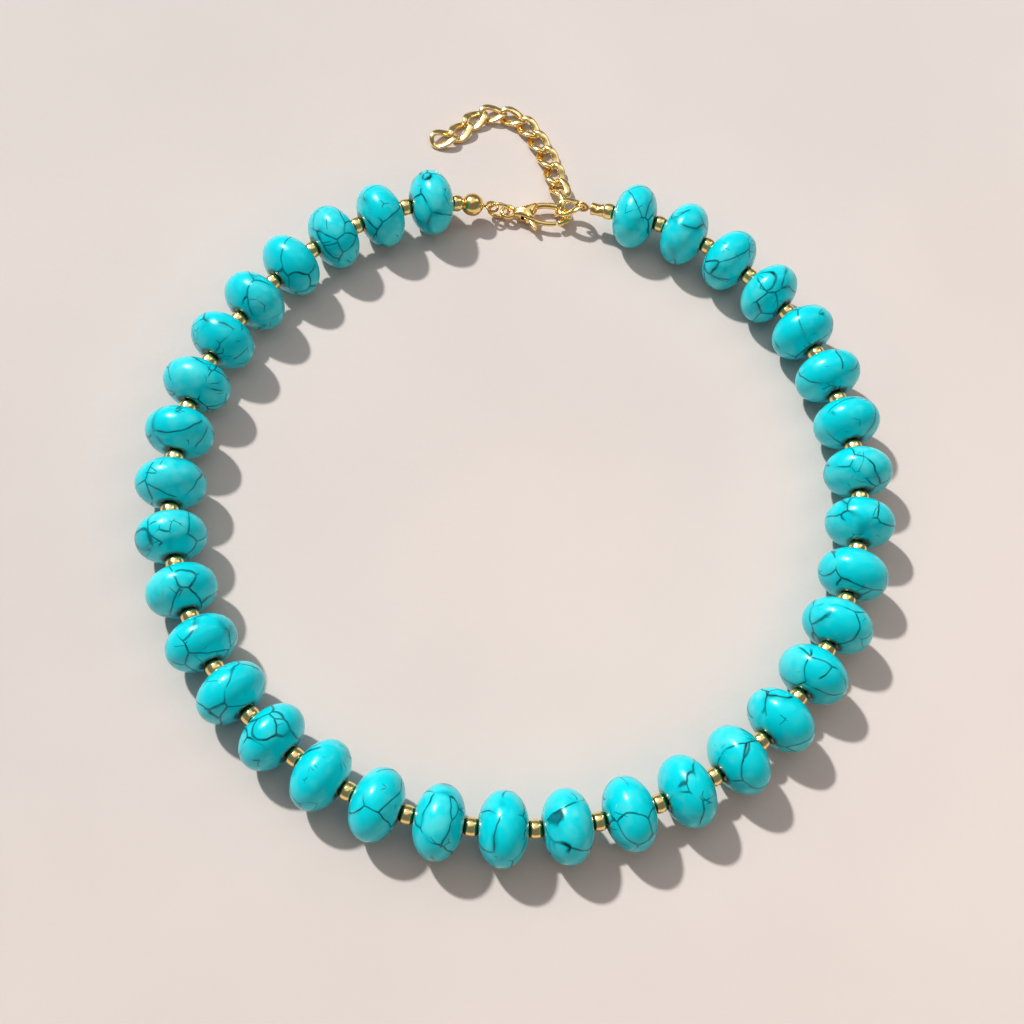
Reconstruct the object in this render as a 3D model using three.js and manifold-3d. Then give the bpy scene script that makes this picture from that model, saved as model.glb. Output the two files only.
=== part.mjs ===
// A short beaded necklace, lying closed on a surface.
// Drilled turquoise rondelle beads alternate with small gold spacers on a steel beading wire.
// The left end carries a round crimp cover, a jump ring and a lobster clasp, and the clasp hooks
// into a curb extender chain that hangs from a crimp tube at the right end.
// Millimetres, +Z up, with the origin on the surface under the middle of the whole necklace.
import * as THREE from 'three';
import { mergeVertices } from 'three/addons/utils/BufferGeometryUtils.js';
import Module from 'manifold-3d';

// Beads, each a rondelle drilled along its short axis with a shallow dimple round each hole
const BEAD_COUNT = 35;
const BEAD_DIAMETER = 12;
const BEAD_THICKNESS = 8;
const BEAD_BORE = 1.3;
const BEAD_DIMPLE_DIAMETER = 2.8;
const BEAD_DIMPLE_DEPTH = 0.4;
const BEAD_ROUNDNESS = 2.1;

// Spacers and the wire that they are crimped to
const SPACER_DIAMETER = 3.0;
const SPACER_FACE_DIAMETER = 2.0;
const SPACER_LENGTH = 1.7;
const WIRE_DIAMETER = 0.5;
const SEAT_GAP = 0.17;

// End findings on the string
const CRIMP_BALL_DIAMETER = 4.3;
const CRIMP_BALL_MOUTH = 1.8;
const CRIMP_TUBE_DIAMETER = 2.5;
const CRIMP_TUBE_LENGTH = 2.4;
const CRIMP_BORE = 1.2;
const END_LOOP_DIAMETER = 2.7;
const END_LEAD = 0.5;

// Jump ring
const JUMP_RING_DIAMETER = 4.4;
const JUMP_RING_WIRE = 0.7;
const LOOP_LIFT = 33;

// Curb extender chain: one link held by the string, one held by the hook, then the loose tail
const LINK_PITCH = 4.15;
const LINK_WIDTH = 4.4;
const LINK_WIRE = 0.9;
const LINK_TWIST = 0.55;
const LINK_FUSE = 0.12;
const TAIL_LINKS = 10;

// Lobster clasp, measured from the centre of its eye
const CLASP_HEIGHT = 1.85;
const EYE_DIAMETER = 3.2;
const EYE_HOLE = 1.8;
const EYE_THICKNESS = 0.9;
const BODY_THICKNESS = 2.4;
const NECK_WIDTH = 1.8;
const HOOK_CENTRE = 7.7;
const HOOK_LENGTH = 9.0;
const HOOK_HEIGHT = 6.0;
const HOOK_WIDTH = 1.2;
const HOOK_THICKNESS = 1.2;
const HOOK_OPENING_LENGTH = 5.5;
const MOUTH_CORE = 1 / 6;
const BEVEL = 0.25;

// Gate lever and its rivet
const PIVOT_X = 4.1;
const PIVOT_Y = -1.0;
const RIVET_DIAMETER = 1.0;
const RIVET_HEAD = 0.12;
const RIVET_CLEARANCE = 0.06;
const LEVER_THICKNESS = 0.9;
const LEVER_ROOT_DIAMETER = 2.2;
const LEVER_WIDTH = 1.0;
const LEVER_CLEARANCE = 0.15;
const TAB_LENGTH = 2.0;
const TAB_WIDTH = 1.1;
const TAB_HEADING = -62;
const LEVER_REACH = 5.1;
const GATE_START = -150;
const BODY_EDGE = -124;
const MOUTH_END = -45;

// Where the hooked link sits on the hook, and how the string's own link leaves it, in degrees
const HOOKED_AT = 55;
const HOOKED_HEADING = 81;
const HOOKED_INSET = 1.4;
const HOOKED_GRIP = 135;
const STRING_LINK_HEADING = -10;
const STRING_LINK_RISE = 20;
const STRING_LINK_ROLL = 5;

// The ring that the string makes: degrees round from the front, and share of the ring's radius
const RING_SHAPE = [
  { around: -162, share: 1.008 },
  { around: -152, share: 1.008 },
  { around: -134, share: 0.995 },
  { around: -105, share: 0.980 },
  { around: -76, share: 0.986 },
  { around: -47, share: 1.008 },
  { around: -19, share: 1.022 },
  { around: 10, share: 1.009 },
  { around: 38, share: 0.998 },
  { around: 67, share: 0.974 },
  { around: 96, share: 0.983 },
  { around: 124, share: 1.011 },
  { around: 143, share: 1.024 },
  { around: 152, share: 1.023 },
  { around: 161, share: 1.013 },
];
const CLASP_SHIFT = -4.4;
const CLASP_SHARE = 0.994;

// The tail's route on the surface, from the eye of the clasp
const TAIL_ROUTE = [
  [9.0, 9.0],
  [8.0, 13.0],
  [6.0, 17.0],
  [4.0, 20.5],
  [1.5, 23.5],
  [-2.0, 24.8],
  [-6.0, 24.5],
  [-8.7, 21.8],
  [-10.5, 18.8],
  [-13.8, 17.1],
  [-17.5, 17.0],
];

// How finely round things are drawn, and how closely points are merged and the ring is fitted
const BEAD_SIDES = 12;
const BEAD_STEPS = 6;
const SPACER_SIDES = 10;
const POST_SIDES = 12;
const SWEEP_SIDES = 60;
const JUMP_RING_SIDES = 6;
const JUMP_RING_STEPS = 16;
const LINK_SIDES = 5;
const LINK_STEPS = 12;
const CURVE_SEGMENTS = 7;
const ARC_STEPS = 1500;
const WALK_STEPS = 5000;
const MERGE_DISTANCE = 1e-5;
const FIT_TOLERANCE = 1e-4;
const FULL_TURN = 2 * Math.PI;

const UP = new THREE.Vector3(0, 0, 1);
const radians = THREE.MathUtils.degToRad;

const wasm = await Module();
wasm.setup();

// Booleans

function toSolid(geometry) {
  const bare = geometry.clone();
  bare.deleteAttribute('normal');
  bare.deleteAttribute('uv');
  const merged = mergeVertices(bare, MERGE_DISTANCE);
  return new wasm.Manifold(new wasm.Mesh({
    numProp: 3,
    vertProperties: merged.attributes.position.array,
    triVerts: new Uint32Array(merged.index.array),
  }));
}

function toGeometry(solid) {
  const mesh = solid.getMesh();
  const geometry = new THREE.BufferGeometry();
  geometry.setAttribute('position', new THREE.BufferAttribute(mesh.vertProperties, 3));
  geometry.setIndex(new THREE.BufferAttribute(mesh.triVerts, 1));
  geometry.computeVertexNormals();
  return geometry;
}

function fuse(geometries) {
  return geometries.map(toSolid).reduce((whole, piece) => whole.add(piece));
}

// Small shapes

function onEllipse(centreX, halfLength, halfHeight, degrees) {
  const angle = radians(degrees);
  return new THREE.Vector2(centreX + halfLength * Math.cos(angle), halfHeight * Math.sin(angle));
}

function plate(shape, thickness, bevel) {
  const geometry = new THREE.ExtrudeGeometry(shape, {
    depth: thickness - 2 * bevel,
    bevelEnabled: bevel > 0,
    bevelThickness: bevel,
    bevelSize: bevel,
    bevelOffset: -bevel,
    bevelSegments: 1,
    curveSegments: CURVE_SEGMENTS,
  });
  geometry.translate(0, 0, bevel - thickness / 2);
  return geometry;
}

function post(x, y, diameter, height, sides = POST_SIDES) {
  const geometry = new THREE.CylinderGeometry(diameter / 2, diameter / 2, height, sides);
  geometry.rotateX(Math.PI / 2);
  geometry.translate(x, y, 0);
  return geometry;
}

function closedLathe(profile) {
  return new THREE.LatheGeometry([...profile, profile[0].clone()], BEAD_SIDES);
}

function drilledLathe(outline, bore) {
  const half = outline[outline.length - 1].y;
  return closedLathe([
    new THREE.Vector2(bore / 2, -half),
    ...outline,
    new THREE.Vector2(bore / 2, half),
  ]);
}

// The clasp's and the links' places, for a ring of a given radius

function linkLength() {
  return LINK_PITCH + LINK_WIRE - LINK_FUSE;
}

function linkPoint(degrees) {
  const angle = radians(degrees);
  return new THREE.Vector3(
    (linkLength() / 2) * Math.cos(angle),
    ((LINK_WIDTH - LINK_WIRE) / 2) * Math.sin(angle),
    -LINK_TWIST * Math.sin(2 * angle),
  );
}

function linkFrame(centre, along, normal) {
  const width = new THREE.Vector3().crossVectors(normal, along).normalize();
  const flat = new THREE.Vector3().crossVectors(along, width);
  return new THREE.Matrix4().makeBasis(along, width, flat).setPosition(centre);
}

function claspLayout(radius) {
  const eye = new THREE.Vector3(CLASP_SHIFT, radius * CLASP_SHARE, CLASP_HEIGHT);

  const ringCentreline = (JUMP_RING_DIAMETER - JUMP_RING_WIRE) / 2;
  const ringHeight = JUMP_RING_DIAMETER / 2;
  const ringReach = Math.sqrt(ringCentreline ** 2 - (ringHeight - CLASP_HEIGHT) ** 2);
  const jumpRing = new THREE.Vector3(eye.x - ringReach, eye.y, ringHeight);
  const lift = radians(LOOP_LIFT);
  const onRing = new THREE.Vector3(-Math.cos(lift), 0, Math.sin(lift));
  const leftLoop = jumpRing.clone().addScaledVector(onRing, ringCentreline);

  const hookLine = new THREE.Vector2(HOOK_LENGTH - HOOK_WIDTH, HOOK_HEIGHT - HOOK_WIDTH);
  const onHook = onEllipse(HOOK_CENTRE, hookLine.x / 2, hookLine.y / 2, HOOKED_AT);
  const heading = radians(HOOKED_HEADING);
  const outwards = new THREE.Vector3(Math.cos(heading), Math.sin(heading), 0);
  const innerJoint = new THREE.Vector3(eye.x + onHook.x, eye.y + onHook.y, LINK_WIDTH / 2);
  innerJoint.addScaledVector(outwards, -HOOKED_INSET);
  const tailJoint = innerJoint.clone().addScaledVector(outwards, LINK_PITCH);
  const hookedCentre = innerJoint.clone().add(tailJoint).multiplyScalar(0.5);
  const sideways = new THREE.Vector3().crossVectors(outwards, UP);
  const hookedLink = linkFrame(hookedCentre, outwards, sideways);

  const rise = radians(STRING_LINK_RISE);
  const turn = radians(STRING_LINK_HEADING);
  const along = new THREE.Vector3(
    Math.cos(rise) * Math.cos(turn),
    Math.cos(rise) * Math.sin(turn),
    Math.sin(rise),
  );
  const normal = UP.clone().applyAxisAngle(along, -radians(STRING_LINK_ROLL));
  const grip = linkPoint(HOOKED_GRIP).applyMatrix4(hookedLink);
  const half = linkLength() / 2;
  const stringCentre = grip.clone().addScaledVector(along, half - LINK_WIRE + LINK_FUSE);
  const stringLink = linkFrame(stringCentre, along, normal);
  const rightLoop = stringCentre.clone().addScaledVector(along, half);

  return { eye, jumpRing, leftLoop, rightLoop, hookedLink, stringLink, tailJoint };
}

// The string's curve, and the ring radius at which all that is threaded on it just fits

function ringPoint({ around, share }, radius) {
  const angle = radians(around);
  return new THREE.Vector3(
    radius * share * Math.sin(angle),
    -radius * share * Math.cos(angle),
    BEAD_DIAMETER / 2,
  );
}

function wireEnd(loop, towards) {
  const reach = (END_LOOP_DIAMETER - WIRE_DIAMETER) / 2;
  return loop.clone().addScaledVector(towards.clone().sub(loop).normalize(), reach);
}

function stringCurve(radius) {
  const { leftLoop, rightLoop } = claspLayout(radius);
  const ring = RING_SHAPE.map((row) => ringPoint(row, radius));
  const start = wireEnd(leftLoop, ring[0]);
  const end = wireEnd(rightLoop, ring[ring.length - 1]);
  const curve = new THREE.CatmullRomCurve3([start, ...ring, end]);
  curve.arcLengthDivisions = ARC_STEPS;
  return curve;
}

const BEAD_PITCH = BEAD_THICKNESS + SPACER_LENGTH + 2 * SEAT_GAP;
const FIRST_BEAD = END_LEAD + CRIMP_BALL_DIAMETER + BEAD_PITCH - BEAD_THICKNESS / 2;
const STRING_LENGTH = FIRST_BEAD + BEAD_COUNT * BEAD_PITCH - BEAD_THICKNESS / 2
  + CRIMP_TUBE_LENGTH + END_LEAD;

function fitRadius() {
  const round = STRING_LENGTH / FULL_TURN;
  let low = round / 2;
  let high = round * 2;
  while (high - low > FIT_TOLERANCE) {
    const middle = (low + high) / 2;
    if (stringCurve(middle).getLength() < STRING_LENGTH) low = middle;
    else high = middle;
  }
  return low;
}

const RADIUS = fitRadius();
const STRING = stringCurve(RADIUS);
const LAYOUT = claspLayout(RADIUS);

function placeOnString(distance) {
  const share = THREE.MathUtils.clamp(distance / STRING_LENGTH, 0, 1);
  const along = STRING.getTangentAt(share);
  const side = new THREE.Vector3().crossVectors(along, UP).normalize();
  const up = new THREE.Vector3().crossVectors(side, along);
  return new THREE.Matrix4().makeBasis(side, along, up).setPosition(STRING.getPointAt(share));
}

// Pieces

function beadGeometry() {
  const rim = BEAD_DIMPLE_DIAMETER / BEAD_DIAMETER;
  const rimShare = (1 - rim ** BEAD_ROUNDNESS) ** (1 / BEAD_ROUNDNESS);
  const poleHeight = BEAD_THICKNESS / 2 / rimShare;
  const last = Math.asin(rimShare ** (BEAD_ROUNDNESS / 2));
  const profile = [new THREE.Vector2(BEAD_BORE / 2, BEAD_DIMPLE_DEPTH - BEAD_THICKNESS / 2)];
  for (let step = 0; step <= BEAD_STEPS; step += 1) {
    const angle = last * (2 * step / BEAD_STEPS - 1);
    const radius = (BEAD_DIAMETER / 2) * Math.cos(angle) ** (2 / BEAD_ROUNDNESS);
    const height = poleHeight * Math.abs(Math.sin(angle)) ** (2 / BEAD_ROUNDNESS);
    profile.push(new THREE.Vector2(radius, Math.sign(angle) * height));
  }
  profile.push(new THREE.Vector2(BEAD_BORE / 2, BEAD_THICKNESS / 2 - BEAD_DIMPLE_DEPTH));
  return closedLathe(profile);
}

// The wire and its spacers are turned as one straight bar and then bent along the string's curve

function wireAndSpacersGeometry() {
  const wire = WIRE_DIAMETER / 2;
  const face = SPACER_FACE_DIAMETER / 2;
  const half = SPACER_LENGTH / 2;
  const profile = [new THREE.Vector2(0, 0), new THREE.Vector2(wire, 0)];
  for (let index = 0; index <= BEAD_COUNT; index += 1) {
    const middle = FIRST_BEAD + (index - 0.5) * BEAD_PITCH;
    profile.push(
      new THREE.Vector2(wire, middle - half),
      new THREE.Vector2(face, middle - half),
      new THREE.Vector2(SPACER_DIAMETER / 2, middle),
      new THREE.Vector2(face, middle + half),
      new THREE.Vector2(wire, middle + half),
    );
  }
  profile.push(new THREE.Vector2(wire, STRING_LENGTH), new THREE.Vector2(0, STRING_LENGTH));

  const bar = new THREE.LatheGeometry(profile, SPACER_SIDES);
  const place = bar.attributes.position;
  for (let index = 0; index < place.count; index += 1) {
    const section = new THREE.Vector3(place.getX(index), 0, place.getZ(index));
    const bent = section.applyMatrix4(placeOnString(place.getY(index)));
    place.setXYZ(index, bent.x, bent.y, bent.z);
  }
  return toGeometry(fuse([bar, endLoop(0, -1, false), endLoop(STRING_LENGTH, 1, true)]));
}

function endLoop(distance, outwards, upright) {
  const reach = (END_LOOP_DIAMETER - WIRE_DIAMETER) / 2;
  const loop = new THREE.TorusGeometry(reach, WIRE_DIAMETER / 2, LINK_SIDES, LINK_STEPS);
  if (upright) loop.rotateY(Math.PI / 2);
  loop.translate(0, outwards * reach, 0);
  return loop.applyMatrix4(placeOnString(distance));
}

function crimpBallGeometry() {
  const radius = CRIMP_BALL_DIAMETER / 2;
  const last = Math.acos(CRIMP_BALL_MOUTH / CRIMP_BALL_DIAMETER);
  const outline = [];
  for (let step = 0; step <= BEAD_STEPS; step += 1) {
    const angle = last * (2 * step / BEAD_STEPS - 1);
    outline.push(new THREE.Vector2(radius * Math.cos(angle), radius * Math.sin(angle)));
  }
  return drilledLathe(outline, CRIMP_BORE);
}

function crimpTubeGeometry() {
  const half = CRIMP_TUBE_LENGTH / 2;
  const edge = CRIMP_TUBE_DIAMETER / 2 - BEVEL;
  return drilledLathe([
    new THREE.Vector2(edge, -half),
    new THREE.Vector2(CRIMP_TUBE_DIAMETER / 2, BEVEL - half),
    new THREE.Vector2(CRIMP_TUBE_DIAMETER / 2, half - BEVEL),
    new THREE.Vector2(edge, half),
  ], CRIMP_BORE);
}

function jumpRingGeometry() {
  const centreline = (JUMP_RING_DIAMETER - JUMP_RING_WIRE) / 2;
  const wire = JUMP_RING_WIRE / 2;
  const ring = new THREE.TorusGeometry(centreline, wire, JUMP_RING_SIDES, JUMP_RING_STEPS);
  return ring.rotateX(Math.PI / 2);
}

// One curb link: a round wire carried round an oval whose sides are twisted out of its plane

function linkGeometry() {
  const halfLength = linkLength() / 2;
  const halfWidth = (LINK_WIDTH - LINK_WIRE) / 2;
  const link = new THREE.TorusGeometry(1, LINK_WIRE / 2, LINK_SIDES, LINK_STEPS);
  const place = link.attributes.position;
  for (let index = 0; index < place.count; index += 1) {
    const angle = Math.atan2(place.getY(index), place.getX(index));
    const offset = Math.hypot(place.getX(index), place.getY(index)) - 1;
    const outX = halfWidth * Math.cos(angle);
    const outY = halfLength * Math.sin(angle);
    const reach = offset / Math.hypot(outX, outY);
    place.setXYZ(
      index,
      halfLength * Math.cos(angle) + reach * outX,
      halfWidth * Math.sin(angle) + reach * outY,
      place.getZ(index) - LINK_TWIST * Math.sin(2 * angle),
    );
  }
  return link;
}

function tailJoints() {
  const lie = LINK_TWIST + LINK_WIRE / 2;
  const { eye, tailJoint } = LAYOUT;
  const route = TAIL_ROUTE.map(([x, y]) => new THREE.Vector3(eye.x + x, eye.y + y, lie));
  const walk = new THREE.CatmullRomCurve3([tailJoint.clone().setZ(lie), ...route]);
  const joints = [tailJoint];
  for (const point of walk.getPoints(WALK_STEPS)) {
    if (joints.length > TAIL_LINKS) break;
    if (point.distanceTo(joints[joints.length - 1]) >= LINK_PITCH) joints.push(point);
  }
  return joints;
}

function extenderChainGeometry() {
  const { stringLink, hookedLink } = LAYOUT;
  const links = [linkGeometry().applyMatrix4(stringLink), linkGeometry().applyMatrix4(hookedLink)];
  const joints = tailJoints();
  for (let index = 1; index < joints.length; index += 1) {
    const centre = joints[index].clone().add(joints[index - 1]).multiplyScalar(0.5);
    const along = joints[index].clone().sub(joints[index - 1]).normalize();
    links.push(linkGeometry().applyMatrix4(linkFrame(centre, along, UP)));
  }
  return toGeometry(fuse(links));
}

// The clasp's outline is a drop whose round end is the hook

function dropShape(withHook) {
  const halfLength = HOOK_LENGTH / 2;
  const halfHeight = HOOK_HEIGHT / 2;
  const edge = radians(BODY_EDGE);
  const shape = new THREE.Shape();
  const shoulder = onEllipse(HOOK_CENTRE, halfLength, halfHeight, -BODY_EDGE);
  const neck = EYE_HOLE / 2 + (EYE_DIAMETER - EYE_HOLE) / 4;
  shape.moveTo(neck, -NECK_WIDTH / 2);
  shape.quadraticCurveTo(neck + NECK_WIDTH, -NECK_WIDTH / 2 - BEVEL, shoulder.x, -shoulder.y);
  if (withHook) {
    shape.absellipse(HOOK_CENTRE, 0, halfLength, halfHeight, edge, -edge, false);
  } else {
    shape.lineTo(shoulder.x, shoulder.y);
  }
  shape.quadraticCurveTo(neck + NECK_WIDTH, NECK_WIDTH / 2 + BEVEL, neck, NECK_WIDTH / 2);
  shape.closePath();
  return shape;
}

function ringSector(outside, inside, from, to) {
  const shape = new THREE.Shape();
  shape.absellipse(HOOK_CENTRE, 0, outside.x, outside.y, radians(from), radians(to), false);
  shape.absellipse(HOOK_CENTRE, 0, inside.x, inside.y, radians(to), radians(from), true);
  shape.closePath();
  return shape;
}

// The disc that the lever's tip sweeps as it turns about the rivet, with a clearance beyond it

function sweep(clearance) {
  const diameter = 2 * (LEVER_REACH + clearance);
  return toSolid(post(PIVOT_X, PIVOT_Y, diameter, 3 * BODY_THICKNESS, SWEEP_SIDES));
}

function rivetHole() {
  return post(PIVOT_X, PIVOT_Y, RIVET_DIAMETER + 2 * RIVET_CLEARANCE, 2 * BODY_THICKNESS);
}

function claspBodyGeometry() {
  const hook = dropShape(true);
  const opening = new THREE.Path();
  const openingEnd = HOOK_CENTRE + HOOK_LENGTH / 2 - HOOK_WIDTH;
  opening.absellipse(openingEnd - HOOK_OPENING_LENGTH / 2, 0, HOOK_OPENING_LENGTH / 2,
    HOOK_HEIGHT / 2 - HOOK_WIDTH, 0, FULL_TURN, false);
  hook.holes.push(opening);

  const eye = new THREE.Shape().absarc(0, 0, EYE_DIAMETER / 2, 0, FULL_TURN, false);
  eye.holes.push(new THREE.Path().absarc(0, 0, EYE_HOLE / 2, 0, FULL_TURN, false));

  const beyond = new THREE.Vector2(HOOK_LENGTH, HOOK_HEIGHT);
  const core = beyond.clone().multiplyScalar(MOUTH_CORE);
  const mouthPlate = plate(ringSector(beyond, core, BODY_EDGE, MOUTH_END), 2 * BODY_THICKNESS, 0);
  const mouth = toSolid(mouthPlate).intersect(sweep(LEVER_CLEARANCE));
  const rootReach = LEVER_ROOT_DIAMETER / 2 + LEVER_CLEARANCE;
  const slotHeight = LEVER_THICKNESS + 2 * LEVER_CLEARANCE;
  const slot = new THREE.BoxGeometry(HOOK_CENTRE - PIVOT_X + rootReach, HOOK_HEIGHT, slotHeight);
  slot.translate(
    (HOOK_CENTRE + PIVOT_X - rootReach) / 2,
    PIVOT_Y + rootReach + LEVER_CLEARANCE - HOOK_HEIGHT / 2,
    0,
  );

  const solid = fuse([
    plate(hook, HOOK_THICKNESS, BEVEL),
    plate(dropShape(false), BODY_THICKNESS, BEVEL),
    plate(eye, EYE_THICKNESS, BEVEL),
  ])
    .subtract(mouth)
    .subtract(toSolid(slot))
    .subtract(toSolid(rivetHole()));
  return toGeometry(solid);
}

function claspLeverGeometry() {
  const outside = new THREE.Vector2(HOOK_LENGTH / 2, HOOK_HEIGHT / 2).subScalar(LEVER_CLEARANCE);
  const inside = outside.clone().subScalar(LEVER_WIDTH);
  const gate = ringSector(outside, inside, GATE_START, MOUTH_END);

  const tab = new THREE.Shape();
  const tabMiddle = (LEVER_ROOT_DIAMETER / 2 + TAB_LENGTH) / 2;
  tab.absellipse(tabMiddle, 0, tabMiddle, TAB_WIDTH / 2, 0, FULL_TURN, false);
  const tabPlate = plate(tab, LEVER_THICKNESS, 0);
  tabPlate.rotateZ(radians(TAB_HEADING));
  tabPlate.translate(PIVOT_X, PIVOT_Y, 0);

  const solid = fuse([
    post(PIVOT_X, PIVOT_Y, LEVER_ROOT_DIAMETER, LEVER_THICKNESS),
    plate(gate, LEVER_THICKNESS, 0),
    tabPlate,
  ]).intersect(sweep(0)).subtract(toSolid(rivetHole()));
  return toGeometry(solid);
}

// Finishes

const howlite = { color: 0x14c2c6, roughness: 0.14, metalness: 0 };
const gold = { color: 0xe0b860, roughness: 0.22, metalness: 1 };

function addMesh(group, name, geometry, finish, placement) {
  const mesh = new THREE.Mesh(geometry, new THREE.MeshStandardMaterial(finish));
  mesh.name = name;
  if (placement) mesh.applyMatrix4(placement);
  group.add(mesh);
}

// Assembly

const necklace = new THREE.Group();

for (let index = 0; index < BEAD_COUNT; index += 1) {
  const name = `bead_${String(index + 1).padStart(2, '0')}`;
  addMesh(necklace, name, beadGeometry(), howlite, placeOnString(FIRST_BEAD + index * BEAD_PITCH));
}

addMesh(necklace, 'wire_and_spacers', wireAndSpacersGeometry(), gold);
addMesh(necklace, 'crimp_ball', crimpBallGeometry(), gold,
  placeOnString(END_LEAD + CRIMP_BALL_DIAMETER / 2));
addMesh(necklace, 'crimp_tube', crimpTubeGeometry(), gold,
  placeOnString(STRING_LENGTH - END_LEAD - CRIMP_TUBE_LENGTH / 2));
addMesh(necklace, 'jump_ring', jumpRingGeometry(), gold,
  new THREE.Matrix4().setPosition(LAYOUT.jumpRing));
addMesh(necklace, 'extender_chain', extenderChainGeometry(), gold);

const clasp = new THREE.Group();
clasp.position.copy(LAYOUT.eye);
addMesh(clasp, 'clasp_body', claspBodyGeometry(), gold);
addMesh(clasp, 'clasp_lever', claspLeverGeometry(), gold);
addMesh(clasp, 'clasp_rivet',
  post(PIVOT_X, PIVOT_Y, RIVET_DIAMETER, BODY_THICKNESS + 2 * RIVET_HEAD), gold);
necklace.add(clasp);

// The origin goes on the surface, under the middle of the whole necklace
necklace.updateMatrixWorld(true);
const bounds = new THREE.Box3().setFromObject(necklace, true);
const middle = bounds.getCenter(new THREE.Vector3());
necklace.position.set(-middle.x, -middle.y, -bounds.min.z);

export default necklace;
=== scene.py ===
import math

import bpy
import numpy as np
from mathutils import Matrix, Vector


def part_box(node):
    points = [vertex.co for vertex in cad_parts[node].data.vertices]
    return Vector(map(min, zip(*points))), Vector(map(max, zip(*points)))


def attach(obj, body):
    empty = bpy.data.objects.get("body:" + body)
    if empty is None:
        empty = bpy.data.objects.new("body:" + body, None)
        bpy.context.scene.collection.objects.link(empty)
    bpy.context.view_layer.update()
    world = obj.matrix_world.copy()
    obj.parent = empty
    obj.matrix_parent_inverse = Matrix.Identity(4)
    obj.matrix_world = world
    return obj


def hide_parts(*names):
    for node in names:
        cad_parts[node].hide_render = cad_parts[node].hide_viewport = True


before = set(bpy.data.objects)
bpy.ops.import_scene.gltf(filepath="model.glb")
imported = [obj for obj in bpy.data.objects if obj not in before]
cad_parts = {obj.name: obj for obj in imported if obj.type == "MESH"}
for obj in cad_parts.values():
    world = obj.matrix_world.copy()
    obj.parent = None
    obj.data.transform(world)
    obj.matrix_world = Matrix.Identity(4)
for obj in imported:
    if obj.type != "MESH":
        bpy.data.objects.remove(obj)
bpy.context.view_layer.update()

bl_info = {
    "name": "Turquoise Rondelle Necklace",
    "version": (1, 0, 0),
    "blender": (4, 5, 0),
    "location": "View3D > Sidebar > Necklace",
    "description": "Dresses a necklace of stone rondelles, gold spacers and a lobster clasp",
    "category": "Object",
}

MM = 0.001
TAU = 2 * math.pi
UP = (0.0, 0.0, 1.0)

# The extender chain's links in mm, as in the part's source, from the one on the string to the tail's
# last: the middle, the long axis and the direction that the flat side faces
LINKS = (
    ((7.47, 50.92, 4.03), (0.925, -0.163, 0.342), (-0.320, 0.145, 0.936)),
    ((5.64, 53.00, 2.22), (0.156, 0.988, 0.0), (0.988, -0.156, 0.0)),
    ((5.36, 56.94, 1.62), (-0.292, 0.912, -0.289), (-0.088, 0.275, 0.957)),
    ((4.26, 60.85, 1.02), (-0.238, 0.971, 0.0), UP),
    ((2.88, 64.75, 1.02), (-0.425, 0.905, 0.0), UP),
    ((0.99, 68.45, 1.02), (-0.483, 0.876, 0.0), UP),
    ((-1.27, 71.92, 1.02), (-0.607, 0.795, 0.0), UP),
    ((-4.46, 74.37, 1.02), (-0.924, 0.382, 0.0), UP),
    ((-8.45, 74.99, 1.02), (-0.996, -0.084, 0.0), UP),
    ((-11.94, 73.30, 1.02), (-0.686, -0.728, 0.0), UP),
    ((-14.60, 70.13, 1.02), (-0.597, -0.802, 0.0), UP),
    ((-17.84, 67.89, 1.02), (-0.961, -0.276, 0.0), UP),
)

BEADS = sorted(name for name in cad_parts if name.startswith("bead_"))

# The sizes from here to the clasp are in mm. A bead: the points round it, how far its lip falls from
# the dimple's edge to the bore, how far from its axis the painted shade round the drilled mouth
# reaches, and over what it fades
ROUND = 64
LIP_DEPTH = 0.4
MOUTH_SHADE_REACH, MOUTH_SHADE_FADE = 3.0, 1.7

# The string's end loops, and how far past the middle of a crimp they start
LOOP_RADIUS = 1.1
PAST_BALL, PAST_TUBE = 2.9, 1.95

# The crimps, with the seam's bearing as an angle
CRIMP_HOLE = 0.6
BALL_RADIUS, BALL_MOUTH = 2.15, 0.75
SEAM_BEARING, SEAM_DEPTH, SEAM_WIDTH = 0.9, 0.14, 0.13
TUBE_RADIUS, TUBE_HALF, TUBE_EDGE = 1.25, 1.2, 0.2

# The jump ring's wire, and half of its cut and the cut's bearing as angles
RING_WIRE, RING_CUT, RING_BEARING = 0.35, 0.05, 1.9

# A link: half of its oval's length and width, its twist, half of its band's width and thickness, and
# how broad the sides are: on the string's link, on the clasp's and on all the others
LINK_LENGTH, LINK_WIDTH, LINK_TWIST = 2.45, 1.74, 0.6
BAND_WIDTH, BAND_THICKNESS = 0.46, 0.42
HAMMERED = (0.2, 0.06) + (0.26,) * (len(LINKS) - 2)

# The clasp: x runs from the middle of its eye to its nose, y across it, z up from mid height. A wire
# is half of its width and half of its height, and the tab's heading is in degrees
EYE_EDGE, EYE_SIDE = 1.6, 3.0
EYE_RADIUS, EYE_WIRE = 1.25, (0.4, 0.5)
HOOK_X = 7.7
HOOK_LENGTH, HOOK_WIDTH, HOOK_WIRE = 3.9, 2.2, (0.6, 0.62)
GATE_LENGTH, GATE_WIDTH, GATE_WIRE = 3.85, 2.15, (0.48, 0.44)
PIVOT = np.array([4.1, -1.0])
ROOT_RADIUS = 1.08
TAB_AT, TAB_LENGTH, TAB_WIDTH, TAB_HEADING = 1.55, 1.52, 0.54, -62
RIVET_RADIUS, RIVET_HALF, RIVET_DOME = 0.5, 1.2, 0.12

# The stage, in metres: half of the surface's side, and how far off the sun and its gloss stand
SURFACE_REACH = 4.0
SUN_DISTANCE, GLOSS_DISTANCE = 0.8, 0.6
WHITE, SUNLIGHT, WARM = (1.0, 1.0, 1.0), (1.0, 0.975, 0.94), (1.0, 0.56, 0.32)

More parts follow.
